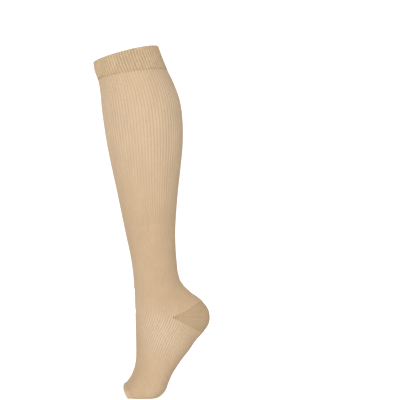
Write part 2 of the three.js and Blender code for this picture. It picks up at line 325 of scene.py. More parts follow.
def creases(shares, places):
    """How deep the creases sink the cloth at each point, in metres."""
    depth = np.zeros(np.broadcast(shares, places).shape)
    for share, half_length, place, half_width, depth_mm, slant in CREASES:
        off = (shares - share + 0.5) % 1 - 0.5
        window = np.cos(np.clip(off / half_length, -1, 1) * np.pi / 2) ** 2
        across = (places - place - slant * off) / half_width
        trough = np.exp(-across ** 2) - CREASE_RIDGE * np.exp(-(np.abs(across) - CREASE_RIDGE_PLACE) ** 2)
        depth += depth_mm * MM * window * trough
    return depth


def ease(value, start, end):
    """A smooth step from 0 at start to 1 at end."""
    part = np.clip((value - start) / (end - start), 0, 1)
    return part * part * (3 - 2 * part)


def rib_shares(turns, places):
    """The shares of the ring at which the ribs with these turns lie."""
    rise = ease(places, SHIFT_START, SHIFT_FULL)
    fall = ease(places, SHIFT_FULL, SHIFT_TURNED)
    rest = ease(places, SHIFT_TURNED, SHIFT_END)
    amount = rise + (FOOT_SHIFT - 1) * fall - FOOT_SHIFT * rest
    angle = 2 * np.pi * turns
    return turns + RIB_SHIFT * amount * np.sin(angle) * (1 + np.cos(angle)) / PEAK_OF_SHIFT


def pocket_edge(shares, back_place):
    """The place of the pocket's edge at each share: on the front half both edges lie together."""
    backness = np.clip(1 - np.abs(shares - 0.5) / (0.5 - POCKET_SHARE), 0, 1)
    side = section("heel middle")
    return side + (back_place - side) * np.sin(backness * np.pi / 2)


def pocket_edge_of_ribs(turns, back_place):
    """The place at which each rib meets the pocket's edge."""
    places = np.full(len(turns), float(section("heel middle")))
    for _ in range(RIB_END_STEPS):
        places = (places + pocket_edge(rib_shares(turns, places), back_place)) / 2
    return places


def rib_strength(points):
    """How strong the ribs are where the knit is stretched this wide: points are rows once round the ring."""
    widths = np.linalg.norm(np.roll(points, -1, axis=1) - points, axis=2) * POINTS_PER_RIB
    widths = (widths + np.roll(widths, 1, axis=1)) / 2
    return np.clip((widths / FULL_RIB) ** 2, LEAST_RIB, MOST_RIB)


def pulled(shares, places):
    """How far each point lies in the stretched knit beside the heel pocket, from 0 to 1."""
    aside = (np.minimum(shares % 1, 1 - shares % 1) - PULLED_SHARE) / PULLED_SPAN
    along = (places - PULLED_PLACE) / PULLED_LENGTH
    return np.exp(-aside ** 2 - along ** 2)


class Cloth:
    """Gathers the grids of one piece of cloth: points with their outward direction, turn, ribs and tone."""

    def __init__(self):
        self.points, self.outward, self.turns, self.ribs, self.tones, self.alongs = [], [], [], [], [], []
        self.faces, self.face_turns = [], []
        self.count = 0

    def grid(self, turns, shares, places, outward, rib, tone):
        """Adds rows of points at an outward distance from the form, and returns their numbers."""
        turns, shares, places = np.broadcast_arrays(turns, shares, places)
        points, normals = on_form(shares, places)
        points = points + normals * np.broadcast_to(outward, shares.shape)[..., None]
        points[..., 2] = np.maximum(points[..., 2], FLOOR_Z)
        steps = np.linalg.norm(np.diff(points, axis=0), axis=2)
        runs = np.concatenate([np.zeros((1, points.shape[1])), np.cumsum(steps, axis=0)])
        numbers = self.count + np.arange(shares.size).reshape(shares.shape)
        self.points.append(points.reshape(-1, 3))
        self.outward.append(normals.reshape(-1, 3))
        self.turns.append(turns.reshape(-1))
        strength = rib_strength(points) if rib is None else np.broadcast_to(rib, shares.shape)
        if tone is None:
            tone = STRETCHED_TONE * (strength - LEAST_RIB) / (MOST_RIB - LEAST_RIB)
            # On the foot's sides the knit is painted paler still: stretched knit and painted light together
            tone = tone + PULLED_TONE_AND_LIGHT * pulled(shares, places)
            strength = strength + PULLED_RIB * pulled(shares, places)
        self.ribs.append(strength.reshape(-1))
        self.tones.append(np.broadcast_to(tone, shares.shape).clip(0, 1).reshape(-1))
        self.alongs.append(runs.reshape(-1))
        self.count += shares.size
        return numbers

    def skin(self, numbers, turns, inside=False, closed=True):
        """Adds the faces between the rows of a grid, facing out or in."""
        right = np.roll(numbers, -1, axis=1) if closed else numbers[:, 1:]
        left = numbers if closed else numbers[:, :-1]
        turn_left = turns if closed else turns[:-1]
        turn_right = np.append(turns[1:], 1.0) if closed else turns[1:]
        corners = [left[:-1], right[:-1], right[1:], left[1:]]
        columns = [turn_left, turn_right, turn_right, turn_left]
        if inside:
            corners, columns = corners[::-1], columns[::-1]
        faces = np.stack(corners, axis=-1)
        spread_out = np.stack([np.broadcast_to(column, faces.shape[:2]) for column in columns], axis=-1)
        self.faces.append(faces.reshape(-1, 4))
        self.face_turns.append(spread_out.reshape(-1, 4))

    def mesh(self, name):
        """The gathered grids as a mesh with its attributes and its map, u in turns and v in metres."""
        points = np.concatenate(self.points)
        faces = np.concatenate(self.faces)
        mesh = bpy.data.meshes.new(name)
        mesh.vertices.add(len(points))
        mesh.vertices.foreach_set("co", points.astype(np.float32).ravel())
        mesh.loops.add(faces.size)
        mesh.loops.foreach_set("vertex_index", faces.astype(np.int32).ravel())
        mesh.polygons.add(len(faces))
        mesh.polygons.foreach_set("loop_start", np.arange(0, faces.size, 4, dtype=np.int32))
        mesh.update(calc_edges=True)
        mesh.polygons.foreach_set("use_smooth", np.ones(len(faces), bool))
        for title, values in (("turn", self.turns), ("rib", self.ribs), ("tone", self.tones)):
            layer = mesh.attributes.new(title, "FLOAT", "POINT")
            layer.data.foreach_set("value", np.concatenate(values).astype(np.float32))
        layer = mesh.attributes.new("outward", "FLOAT_VECTOR", "POINT")
        layer.data.foreach_set("vector", np.concatenate(self.outward).astype(np.float32).ravel())
        along = np.concatenate(self.alongs)[faces]
        knit_map = mesh.uv_layers.new(name="knit")
        pairs = np.stack([np.concatenate(self.face_turns), along], axis=-1)
        knit_map.uv.foreach_set("vector", pairs.astype(np.float32).ravel())
        mesh.validate()
        return mesh


def add(tree, kind, settings=None, inputs=None):
    """Adds a node to a tree, with its settings, its values and its links."""
    node = tree.nodes.new(kind)
    for name, value in (settings or {}).items():
        setattr(node, name, value)
    for socket, value in (inputs or {}).items():
        if isinstance(value, bpy.types.NodeSocket):
            tree.links.new(value, node.inputs[socket])
        else:
            node.inputs[socket].default_value = value
    return node


def calc(tree, operation, *values):
    """Adds a math node that works on these sockets or numbers."""
    return add(tree, "ShaderNodeMath", {"operation": operation}, dict(enumerate(values)))


def knit_material(name, colour, pale, look):
    """A knit of nylon and elastane yarn, matt with a soft sheen, paler where it is stretched.

    The tone attribute mixes colour towards pale: pale stands for stretched knit, and also for painted light
    on the sides of the foot and painted highlight on the ridges of the heel. look gives the depths of the
    painted shade in the grooves between its ribs, of its rows of stitches and of its mottling, as unevenly
    stretched yarn catches the light.
    """
    sizes = bpy.context.scene.stocking_sizes
    material = bpy.data.materials.new(name)
    material.use_nodes = True
    tree = material.node_tree
    tree.nodes.clear()
    maps = add(tree, "ShaderNodeUVMap", {"uv_map": "knit"})
    split = add(tree, "ShaderNodeSeparateXYZ", None, {0: maps.outputs[0]})
    wale = calc(tree, "MULTIPLY", split.outputs["X"], sizes.rib_count * look["wales_per_rib"])
    in_wale = calc(tree, "FRACT", wale.outputs[0])
    centred = calc(tree, "SUBTRACT", in_wale.outputs[0], 0.5)
    aside = calc(tree, "ABSOLUTE", centred.outputs[0])
    # Each stitch is a V: its two legs climb from the middle of the wale.
    row = calc(tree, "DIVIDE", split.outputs["Y"], sizes.course)
    climb = calc(tree, "MULTIPLY", aside.outputs[0], 1.3)
    slope = calc(tree, "ADD", row.outputs[0], climb.outputs[0])
    turn = calc(tree, "MULTIPLY", slope.outputs[0], 2 * math.pi)
    wave = calc(tree, "SINE", turn.outputs[0])
    # The grooves between the ribs, weighted by the rib attribute: they sink the bump and carry painted shade
    groove = add(tree, "ShaderNodeMapRange", {"interpolation_type": "SMOOTHSTEP"},
                 {"Value": aside.outputs[0], "From Min": look["groove_from"], "From Max": 0.5,
                  "To Min": 0.0, "To Max": 1.0})
    rib = add(tree, "ShaderNodeAttribute", {"attribute_name": "rib"})
    groove = calc(tree, "MULTIPLY", groove.outputs[0], rib.outputs["Fac"])
    # Mottling, longer along the ribs than across them
    place = add(tree, "ShaderNodeTexCoord")
    stretched = add(tree, "ShaderNodeMapping", None,
                    {"Vector": place.outputs["Object"], "Scale": (1.0, 1.0, PATCH_LENGTH)})
    fine = add(tree, "ShaderNodeTexNoise", None,
               {"Vector": stretched.outputs[0], "Scale": 1 / FINE_PATCH, "Detail": 2.0, "Roughness": 0.6})
    broad = add(tree, "ShaderNodeTexNoise", None,
                {"Vector": stretched.outputs[0], "Scale": 1 / BROAD_PATCH, "Detail": 2.0, "Roughness": 0.5})
    fine_shade = add(tree, "ShaderNodeMapRange", None,
                     {"Value": fine.outputs[0], "From Min": 0.25, "From Max": 0.75,
                      "To Min": 1 - look["mottle"], "To Max": 1 + look["mottle"]})
    broad_shade = add(tree, "ShaderNodeMapRange", None,
                      {"Value": broad.outputs[0], "From Min": 0.3, "From Max": 0.7,
                       "To Min": 1 - look["mottle"] * 0.5, "To Max": 1 + look["mottle"] * 0.5})
    stitch_shade = add(tree, "ShaderNodeMapRange", None,
                       {"Value": wave.outputs[0], "From Min": -1.0, "From Max": 1.0,
                        "To Min": 1 - look["stitch_shade"], "To Max": 1.0})
    # Painted shade: the grooves are darkened as if the ribs beside them shadowed them
    painted_groove_shade = add(tree, "ShaderNodeMapRange", None,
                       {"Value": groove.outputs[0], "From Min": 0.0, "From Max": 1.0,
                        "To Min": 1.0, "To Max": 1 - look["painted_groove_shade"]})
    shade = fine_shade.outputs[0]
    for part in (broad_shade, stitch_shade, painted_groove_shade):
        shade = calc(tree, "MULTIPLY", shade, part.outputs[0]).outputs[0]
    # tone mixes the yarn from colour to pale: stretched knit, with painted light on the foot's sides and
    # heel's ridges
    tone = add(tree, "ShaderNodeAttribute", {"attribute_name": "tone"})
    yarn = add(tree, "ShaderNodeMix", {"data_type": "RGBA"},
               {"Factor": tone.outputs["Fac"], 6: (*colour, 1), 7: (*pale, 1)})
    tint = add(tree, "ShaderNodeVectorMath", {"operation": "SCALE"}, {0: yarn.outputs[2], "Scale": shade})
    loops = calc(tree, "MULTIPLY", wave.outputs[0], look["stitch_depth"])
    sunk = calc(tree, "MULTIPLY", groove.outputs[0], look["groove_depth"])
    height = calc(tree, "SUBTRACT", loops.outputs[0], sunk.outputs[0])
    fuzz = calc(tree, "MULTIPLY_ADD", fine.outputs[0], look["fuzz_depth"], height.outputs[0])
    bump = add(tree, "ShaderNodeBump", None, {"Height": fuzz.outputs[0], "Distance": MM, "Strength": 1.0})
    surface = add(tree, "ShaderNodeBsdfPrincipled", None,
                  {"Base Color": tint.outputs[0], "Normal": bump.outputs[0], "Roughness": 0.78,
                   "Specular IOR Level": 0.15, "Sheen Weight": look["sheen"], "Sheen Roughness": 0.45,
                   "Sheen Tint": (1.0, 0.84, 0.66, 1), "Specular Tint": (1.0, 0.84, 0.66, 1)})
    add(tree, "ShaderNodeOutputMaterial", None, {"Surface": surface.outputs[0]})
    return material


def open_tree(name, inputs):
    """A new tree of geometry nodes that takes a mesh and these inputs, and the node that hands them in."""
    tree = bpy.data.node_groups.new(name, "GeometryNodeTree")
    for in_out in ("OUTPUT", "INPUT"):
        tree.interface.new_socket("Geometry", in_out=in_out, socket_type="NodeSocketGeometry")
    for title, kind in inputs.items():
        tree.interface.new_socket(title, in_out="INPUT", socket_type="NodeSocket" + kind)
    return tree, add(tree, "NodeGroupInput")


def close_tree(tree, start, geometry):
    """Ends a tree with its geometry made real, in the material that is handed in."""
    whole = add(tree, "GeometryNodeRealizeInstances", None, {0: geometry})
    done = add(tree, "GeometryNodeSetMaterial", None,
               {"Geometry": whole.outputs[0], "Material": start.outputs["Material"]})
    add(tree, "NodeGroupOutput", None, {"Geometry": done.outputs[0]})
    return tree


def rib_tree():
    """Geometry nodes that raise the ribs: rounded ridges side by side with narrow grooves between them."""
    tree, start = open_tree("Raise ribs", {
        "Ribs": "Int", "Rib height": "Float", "Unevenness": "Float", "Seed": "Float",
        "Material": "Material"})
    turn = add(tree, "GeometryNodeInputNamedAttribute", {"data_type": "FLOAT"}, {"Name": "turn"})
    weight = add(tree, "GeometryNodeInputNamedAttribute", {"data_type": "FLOAT"}, {"Name": "rib"})
    outward = add(tree, "GeometryNodeInputNamedAttribute", {"data_type": "FLOAT_VECTOR"},
                  {"Name": "outward"})
    ribs = calc(tree, "MULTIPLY", turn.outputs[0], start.outputs["Ribs"])
    angle = calc(tree, "MULTIPLY", ribs.outputs[0], math.pi)
    wave = calc(tree, "SINE", angle.outputs[0])
    ridge = calc(tree, "ABSOLUTE", wave.outputs[0])
    sunk = calc(tree, "SUBTRACT", ridge.outputs[0], 1.0)
    noise = add(tree, "ShaderNodeTexNoise", {"noise_dimensions": "4D"},
                {"W": start.outputs["Seed"], "Scale": 45.0, "Detail": 2.0})
    spread = calc(tree, "SUBTRACT", noise.outputs[0], 0.5)
    uneven = calc(tree, "MULTIPLY_ADD", spread.outputs[0], start.outputs["Unevenness"], 1.0)
    relief = calc(tree, "MULTIPLY", sunk.outputs[0], uneven.outputs[0])
    deep = calc(tree, "MULTIPLY", relief.outputs[0], start.outputs["Rib height"])
    kept = calc(tree, "MULTIPLY", deep.outputs[0], weight.outputs[0])
    move = add(tree, "ShaderNodeVectorMath", {"operation": "SCALE"},
               {0: outward.outputs[0], "Scale": kept.outputs[0]})
    moved = add(tree, "GeometryNodeSetPosition", None,
                {"Geometry": start.outputs["Geometry"], "Offset": move.outputs[0]})
    return close_tree(tree, start, moved.outputs[0])


def stitch_tree():
    """Geometry nodes that set a small stitch at even steps along a seam, turned with it and the cloth."""
    tree, start = open_tree("Sew stitches", {
        "Stitch length": "Float", "Thread": "Float", "Slant": "Float", "Fill": "Float", "Seed": "Int",
        "Material": "Material"})
    outward = add(tree, "GeometryNodeInputNamedAttribute", {"data_type": "FLOAT_VECTOR"},
                  {"Name": "outward"})
    line = add(tree, "GeometryNodeMeshToCurve", None, {0: start.outputs["Geometry"]})
    steps = add(tree, "GeometryNodeCurveToPoints", {"mode": "LENGTH"},
                {"Curve": line.outputs[0], "Length": start.outputs["Stitch length"]})
    # The thread of one stitch is a stretched ball: long along the seam and thin across it.
    long_side = calc(tree, "MULTIPLY", start.outputs["Stitch length"], start.outputs["Fill"])
    ball = add(tree, "GeometryNodeMeshUVSphere", None, {"Segments": 8, "Rings": 6, "Radius": 0.5})
    shape = add(tree, "ShaderNodeCombineXYZ", None,
                {0: long_side.outputs[0], 1: start.outputs["Thread"], 2: start.outputs["Thread"]})
    thread = add(tree, "GeometryNodeTransform", None,
                 {"Geometry": ball.outputs[0], "Scale": shape.outputs[0]})
    smooth = add(tree, "GeometryNodeSetShadeSmooth", None, {0: thread.outputs[0]})
    along = add(tree, "FunctionNodeAlignRotationToVector", {"axis": "X"},
                {"Vector": steps.outputs["Tangent"]})
    flat = add(tree, "FunctionNodeAlignRotationToVector", {"axis": "Z", "pivot_axis": "X"},
               {"Rotation": along.outputs[0], "Vector": outward.outputs[0]})
    jitter = add(tree, "FunctionNodeRandomValue", {"data_type": "FLOAT"},
                 {2: 0.75, 3: 1.25, "Seed": start.outputs["Seed"]})
    lean = calc(tree, "MULTIPLY", start.outputs["Slant"], jitter.outputs[1])
    turn = add(tree, "ShaderNodeCombineXYZ", None, {2: lean.outputs[0]})
    spin = add(tree, "FunctionNodeEulerToRotation", None, {0: turn.outputs[0]})
    turned = add(tree, "FunctionNodeRotateRotation", {"rotation_space": "LOCAL"},
                 {0: flat.outputs[0], 1: spin.outputs[0]})
    sewn = add(tree, "GeometryNodeInstanceOnPoints", None,
               {"Points": steps.outputs["Points"], "Instance": smooth.outputs[0],
                "Rotation": turned.outputs[0]})
    return close_tree(tree, start, sewn.outputs[0])


def built(name, mesh, tree, values):
    """Runs a tree of geometry nodes on a mesh and keeps the result as a plain mesh object."""
    material = values["Material"]
    start = bpy.data.objects.new(name, mesh)
    bpy.context.scene.collection.objects.link(start)
    nodes = start.modifiers.new("Knit", "NODES")
    nodes.node_group = tree
    sockets = {item.name: item.identifier for item in tree.interface.items_tree if item.in_out == "INPUT"}
    for title, value in values.items():
        nodes[sockets[title]] = value
    bpy.context.view_layer.update()
    ready = start.evaluated_get(bpy.context.evaluated_depsgraph_get())
    result = bpy.data.meshes.new_from_object(ready)
    bpy.data.objects.remove(start)
    if not len(result.polygons):
        raise RuntimeError(name + " came out of its nodes with no faces")
    result.name = name
    result.materials.clear()
    result.materials.append(material)
    piece = bpy.data.objects.new(name, result)
    bpy.context.scene.collection.objects.link(piece)
    return piece


def shared_tree(name, make):
    return bpy.data.node_groups.get(name) or make()


def ring_turns():
    columns = bpy.context.scene.stocking_sizes.rib_count * POINTS_PER_RIB
    return np.arange(columns) / columns


def profile_rows(profile, long_steps):
    """The rows of a profile as columns of places, levels and rib weights, its long stretches divided."""
    rows = []
    for here, there in zip(profile, profile[1:]):
        steps = long_steps if abs(here[0] - there[0]) > 0.5 else 1
        rows += [np.array(here) + (np.array(there) - here) * step / steps for step in range(steps)]
    rows.append(np.array(profile[-1]))
    return (column[:, None] for column in np.array(rows).T)


def rows_between(first, last, count):
    return np.linspace(0, 1, count + 1)[:, None] * (last - first) + first


class STOCKING_OT_leg_and_foot(bpy.types.Operator):
    """Makes the ribbed tube of the leg and foot, with the opening that the heel pocket fills"""

    bl_idname = "stocking.leg_and_foot"
    bl_label = "Leg and foot"

    LEG_ROWS = 96
    FOOT_ROWS = 54
    INSIDE_LEG_ROWS = 16
    INSIDE_FOOT_ROWS = 14
    TUCK = 1.0 * MM  # how far the edges dip under the band and the toe edge
    TUCK_PLACES = 0.08
    INSIDE_TONE = 0.2

    def execute(self, context):
        sizes = context.scene.stocking_sizes
        turns = ring_turns()
        leg_end = pocket_edge_of_ribs(turns, POCKET_BACK_TOP)
        foot_start = pocket_edge_of_ribs(turns, POCKET_BACK_END)
        front = np.abs(rib_shares(turns, leg_end) - 0.5) >= 0.5 - POCKET_SHARE
        top, end = section("band foot"), section("toe band start")
        cloth = Cloth()

        def add_side(leg_rows, foot_rows, depth, tucked, rib, tone):
            """One side of the cloth, its leg rows over its foot rows, sharing the ring over the instep."""
            leg_places = rows_between(np.full(len(turns), float(top)), leg_end, leg_rows)
            foot_places = rows_between(foot_start, np.full(len(turns), float(end)), foot_rows)
            leg_deep = depth - creases(rib_shares(turns, leg_places), leg_places)
            foot_deep = depth - creases(rib_shares(turns, foot_places), foot_places)
            if tucked:
                leg_places = np.vstack([leg_places[:1] - self.TUCK_PLACES, leg_places])
                leg_deep = np.vstack([leg_deep[:1] - self.TUCK, leg_deep])
                foot_places = np.vstack([foot_places, foot_places[-1:] + self.TUCK_PLACES])
                foot_deep = np.vstack([foot_deep, foot_deep[-1:] - self.TUCK])
            leg = cloth.grid(turns, rib_shares(turns, leg_places), leg_places, leg_deep, rib, tone)
            run = cloth.alongs[-1].reshape(leg.shape)[-1]
            foot = cloth.grid(turns, rib_shares(turns, foot_places), foot_places, foot_deep, rib, tone)
            cloth.alongs[-1] = (cloth.alongs[-1].reshape(foot.shape) + run).reshape(-1)
            foot[0, front] = leg[-1, front]
            return leg, foot

        outer_leg, outer_foot = add_side(self.LEG_ROWS, self.FOOT_ROWS, 0.0, True, None, None)
        inner_leg, inner_foot = add_side(
            self.INSIDE_LEG_ROWS, self.INSIDE_FOOT_ROWS, -sizes.rib_height - sizes.wall, False, 0.0,
            self.INSIDE_TONE)
        for outer in (outer_leg, outer_foot):
            cloth.skin(outer, turns)
        for inside in (inner_leg, inner_foot):
            cloth.skin(inside, turns, inside=True)
        cloth.skin(np.stack([inner_leg[0], outer_leg[0]]), turns)
        cloth.skin(np.stack([outer_foot[-1], inner_foot[-1]]), turns)
        back = np.flatnonzero(~front)
        back = np.concatenate([[back[0] - 1], back, [back[-1] + 1]])
        cloth.skin(np.stack([outer_leg[-1, back], inner_leg[-1, back]]), turns[back], closed=False)
        cloth.skin(np.stack([inner_foot[0, back], outer_foot[0, back]]), turns[back], closed=False)

        mesh = cloth.mesh("leg_and_foot")
        # The groove shade is painted shade in the grooves between the ribs
        look = {"wales_per_rib": 1, "groove_from": 0.2, "painted_groove_shade": 0.12, "groove_depth": 0.12,
                "stitch_shade": 0.03, "stitch_depth": 0.05, "mottle": 0.06, "fuzz_depth": 0.06, "sheen": 0.1}
        colours = context.scene.stocking_colours
        material = knit_material("Elastic rib knit", colours.leg, colours.leg_stretched_and_lit, look)
        piece = built("leg_and_foot", mesh, shared_tree("Raise ribs", rib_tree), {
            "Ribs": sizes.rib_count, "Rib height": sizes.rib_height, "Unevenness": 0.5, "Seed": 3.0,
            "Material": material})
        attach(piece, BODY)
        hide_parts("leg", "foot")
        return {"FINISHED"}


class STOCKING_OT_top_band(bpy.types.Operator):
    """Makes the doubled elastic band, with strong ribs, a turned rim and a drawn-in lower edge"""

    bl_idname = "stocking.top_band"
    bl_label = "Top band"

    # Once round the cloth of the band, from its lower edge up the outside, over the rim and down the
    # inside: the place in sections, how far out it is between the inside (0) and the crests (1), and the
    # ribs' strength.
    PROFILE = (
        (2.0, 0.1, 0.0), (2.0, 0.45, 0.3), (1.99, 0.7, 0.7), (1.96, 0.88, 1.0), (1.88, 0.97, 1.0),
        (0.16, 1.03, 1.0), (0.08, 1.06, 1.0), (0.035, 1.02, 0.9), (0.01, 0.88, 0.7), (0.0, 0.6, 0.4),
        (0.01, 0.3, 0.1), (0.05, 0.08, 0.0), (0.12, 0.0, 0.0), (1.9, 0.0, 0.0), (1.98, 0.02, 0.0),
    )
    LONG_STEPS = 16  # rows in each of the two long stretches, the outside and the inside
    BELLY = 0.35 * MM
    BELLY_WAVE = 0.4  # share by which the belly grows and shrinks round the leg
    BELLY_WAVES = 3

    def execute(self, context):
        sizes = context.scene.stocking_sizes
        turns = ring_turns()
        places, levels, ribs = profile_rows(self.PROFILE, self.LONG_STEPS)
        outside = sizes.band_proud
        inside = sizes.band_proud - sizes.band_rib_height - sizes.band_wall
        # The band bellies a little between the rim and its seam, unevenly round the leg.
        uneven = 1 + self.BELLY_WAVE * np.sin(2 * np.pi * self.BELLY_WAVES * turns + 1)
        belly = self.BELLY * np.sin(np.clip(places / 2, 0, 1) * np.pi) * uneven
        outward = inside + (outside + belly - inside) * levels
        cloth = Cloth()
        numbers = cloth.grid(turns, turns, np.broadcast_to(places, outward.shape), outward, ribs, ribs)
        numbers = np.vstack([numbers, numbers[:1]])
        cloth.skin(numbers[::-1], turns)
        mesh = cloth.mesh("top_band")
        # The groove shade is painted shade in the grooves between the ribs
        look = {"wales_per_rib": 1, "groove_from": 0.22, "painted_groove_shade": 0.22, "groove_depth": 0.2,
                "stitch_shade": 0.06, "stitch_depth": 0.06, "mottle": 0.12, "fuzz_depth": 0.08, "sheen": 0.1}
        colours = context.scene.stocking_colours
        material = knit_material("Doubled rib knit", colours.band, colours.band_stretched, look)
        piece = built("top_band_knit", mesh, shared_tree("Raise ribs", rib_tree), {
            "Ribs": sizes.rib_count, "Rib height": sizes.band_rib_height, "Unevenness": 1.2, "Seed": 8.0,
            "Material": material})
        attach(piece, BODY)
        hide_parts("top_band")
        return {"FINISHED"}


class STOCKING_OT_heel(bpy.types.Operator):
    """Makes the plain knitted heel pocket, with the lines of its short rows fanning from its side points"""

    bl_idname = "stocking.heel"
    bl_label = "Heel pocket"

    COLUMNS_PER_RIB = 4
    ROWS = 96
    INSIDE_ROWS = 10
    SINK = 0.3 * MM
    TUCK = 0.6 * MM
    TUCK_PLACES = 0.05
    PLAIN_TONE = 0.5
    INSIDE_TONE = 0.2
    # The lines of the short rows are painted darker, as painted shade, and the ridges beside them lighter,
    # as painted highlight
    LINE_SHADE_AND_HIGHLIGHT = 0.8
    DEEP_LINE_MM = 0.2  # a line this deep takes the whole of that tone
    RIDGE_PLACE = 1.8  # beside a line lies a ridge, this many half widths away
    RIDGE_SHARE = 0.5  # of the line's depth
    RIDGE_HIGHLIGHT = 0.9

    def execute(self, context):
        sizes = context.scene.stocking_sizes
        columns = int(sizes.rib_count * (1 - 2 * POCKET_SHARE)) * self.COLUMNS_PER_RIB
        shares = np.linspace(POCKET_SHARE, 1 - POCKET_SHARE, columns + 1)
        top = pocket_edge(shares, POCKET_BACK_TOP)
        end = pocket_edge(shares, POCKET_BACK_END)
        cloth = Cloth()
        steps = np.linspace(0, 1, self.ROWS + 1)[:, None]
        places = top + (end - top) * steps
        sideness = np.abs(shares - 0.5) / (0.5 - POCKET_SHARE)
        deep = np.full(places.shape, self.SINK)
        tone = np.full(places.shape, self.PLAIN_TONE)
        # Each line sinks the cloth and takes painted shade; the ridge beside it rises and takes painted
        # highlight
        for row_share, half_width, depth_mm, reach in FAN_LINES:
            fade = ease(sideness, 1 - reach, 1.02)
            groove = np.exp(-((steps - row_share) / half_width) ** 2) * fade
            ridge_share = row_share + self.RIDGE_PLACE * half_width
            ridge = np.exp(-((steps - ridge_share) / half_width) ** 2) * fade
            deep = deep + depth_mm * MM * (groove - self.RIDGE_SHARE * ridge)
            tone = tone + self.LINE_SHADE_AND_HIGHLIGHT * depth_mm / self.DEEP_LINE_MM * (self.RIDGE_HIGHLIGHT * ridge - groove)
        places = np.vstack([places[:1] - self.TUCK_PLACES, places, places[-1:] + self.TUCK_PLACES])
        deep = np.vstack([deep[:1] + self.TUCK, deep, deep[-1:] + self.TUCK])
        tone = np.vstack([tone[:1], tone, tone[-1:]])
        outer = cloth.grid(shares, shares, places, -deep, 0.0, tone)
        inside_steps = np.linspace(0, 1, self.INSIDE_ROWS + 1)[:, None]
        inner = cloth.grid(
            shares, shares, top + (end - top) * inside_steps, -sizes.rib_height - sizes.wall, 0.0,
            self.INSIDE_TONE)
        cloth.skin(outer, shares, closed=False)
        cloth.skin(inner, shares, inside=True, closed=False)
        cloth.skin(np.stack([inner[0], outer[0]]), shares, closed=False)
        cloth.skin(np.stack([outer[-1], inner[-1]]), shares, closed=False)
        mesh = cloth.mesh("heel_pocket")
        # The groove shade is painted shade in the grooves between the ribs
        look = {"wales_per_rib": 2, "groove_from": 0.3, "painted_groove_shade": 0.05, "groove_depth": 0.06,
                "stitch_shade": 0.05, "stitch_depth": 0.08, "mottle": 0.05, "fuzz_depth": 0.1, "sheen": 0.15}
        colours = context.scene.stocking_colours
        material = knit_material("Plain heel knit", colours.heel, colours.heel_ridge_highlight, look)
        mesh.materials.append(material)
        piece = bpy.data.objects.new("heel_pocket", mesh)
        context.scene.collection.objects.link(piece)
        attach(piece, BODY)
        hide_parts("heel")
        return {"FINISHED"}


class STOCKING_OT_toe_edge(bpy.types.Operator):
    """Makes the plain edge of the open toe, with a small rolled rim"""

    bl_idname = "stocking.toe_edge"
    bl_label = "Toe edge"

    # As on the top band, from the end by the foot along the outside, over the rim and back inside
    PROFILE = (
        (29.94, 0.3, 0.0), (29.96, 0.8, 0.0), (29.98, 0.95, 0.0), (30.02, 1.0, 0.0), (30.76, 1.0, 0.0),
        (30.84, 1.1, 0.0), (30.9, 1.14, 0.0), (30.96, 1.06, 0.0), (30.99, 0.85, 0.0), (31.0, 0.55, 0.0),
        (30.99, 0.25, 0.0), (30.95, 0.05, 0.0), (30.9, 0.0, 0.0), (29.96, 0.0, 0.0),
    )
    LONG_STEPS = 8
    SINK = 0.3 * MM  # under the crests of the ribs, as the heel pocket
    TONE = 0.25

    def execute(self, context):
        sizes = context.scene.stocking_sizes
        turns = ring_turns()
        places, levels, ribs = profile_rows(self.PROFILE, self.LONG_STEPS)
        inside = -sizes.rib_height - sizes.wall
        outside = -self.SINK
        outward = inside + (outside - inside) * levels - creases(turns, places)
        cloth = Cloth()
        numbers = cloth.grid(turns, turns, np.broadcast_to(places, outward.shape), outward, ribs, self.TONE)
        numbers = np.vstack([numbers, numbers[:1]])
        cloth.skin(numbers, turns)
        mesh = cloth.mesh("toe_edge")
        # The groove shade is painted shade in the grooves between the ribs
        look = {"wales_per_rib": 2, "groove_from": 0.3, "painted_groove_shade": 0.06, "groove_depth": 0.06,
                "stitch_shade": 0.04, "stitch_depth": 0.06, "mottle": 0.04, "fuzz_depth": 0.08, "sheen": 0.2}
        colours = context.scene.stocking_colours
        material = knit_material("Plain toe knit", colours.leg, colours.leg_stretched_and_lit, look)
        mesh.materials.append(material)
        piece = bpy.data.objects.new("toe_edge", mesh)
        context.scene.collection.objects.link(piece)
        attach(piece, BODY)
        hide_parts("toe_band")
        return {"FINISHED"}


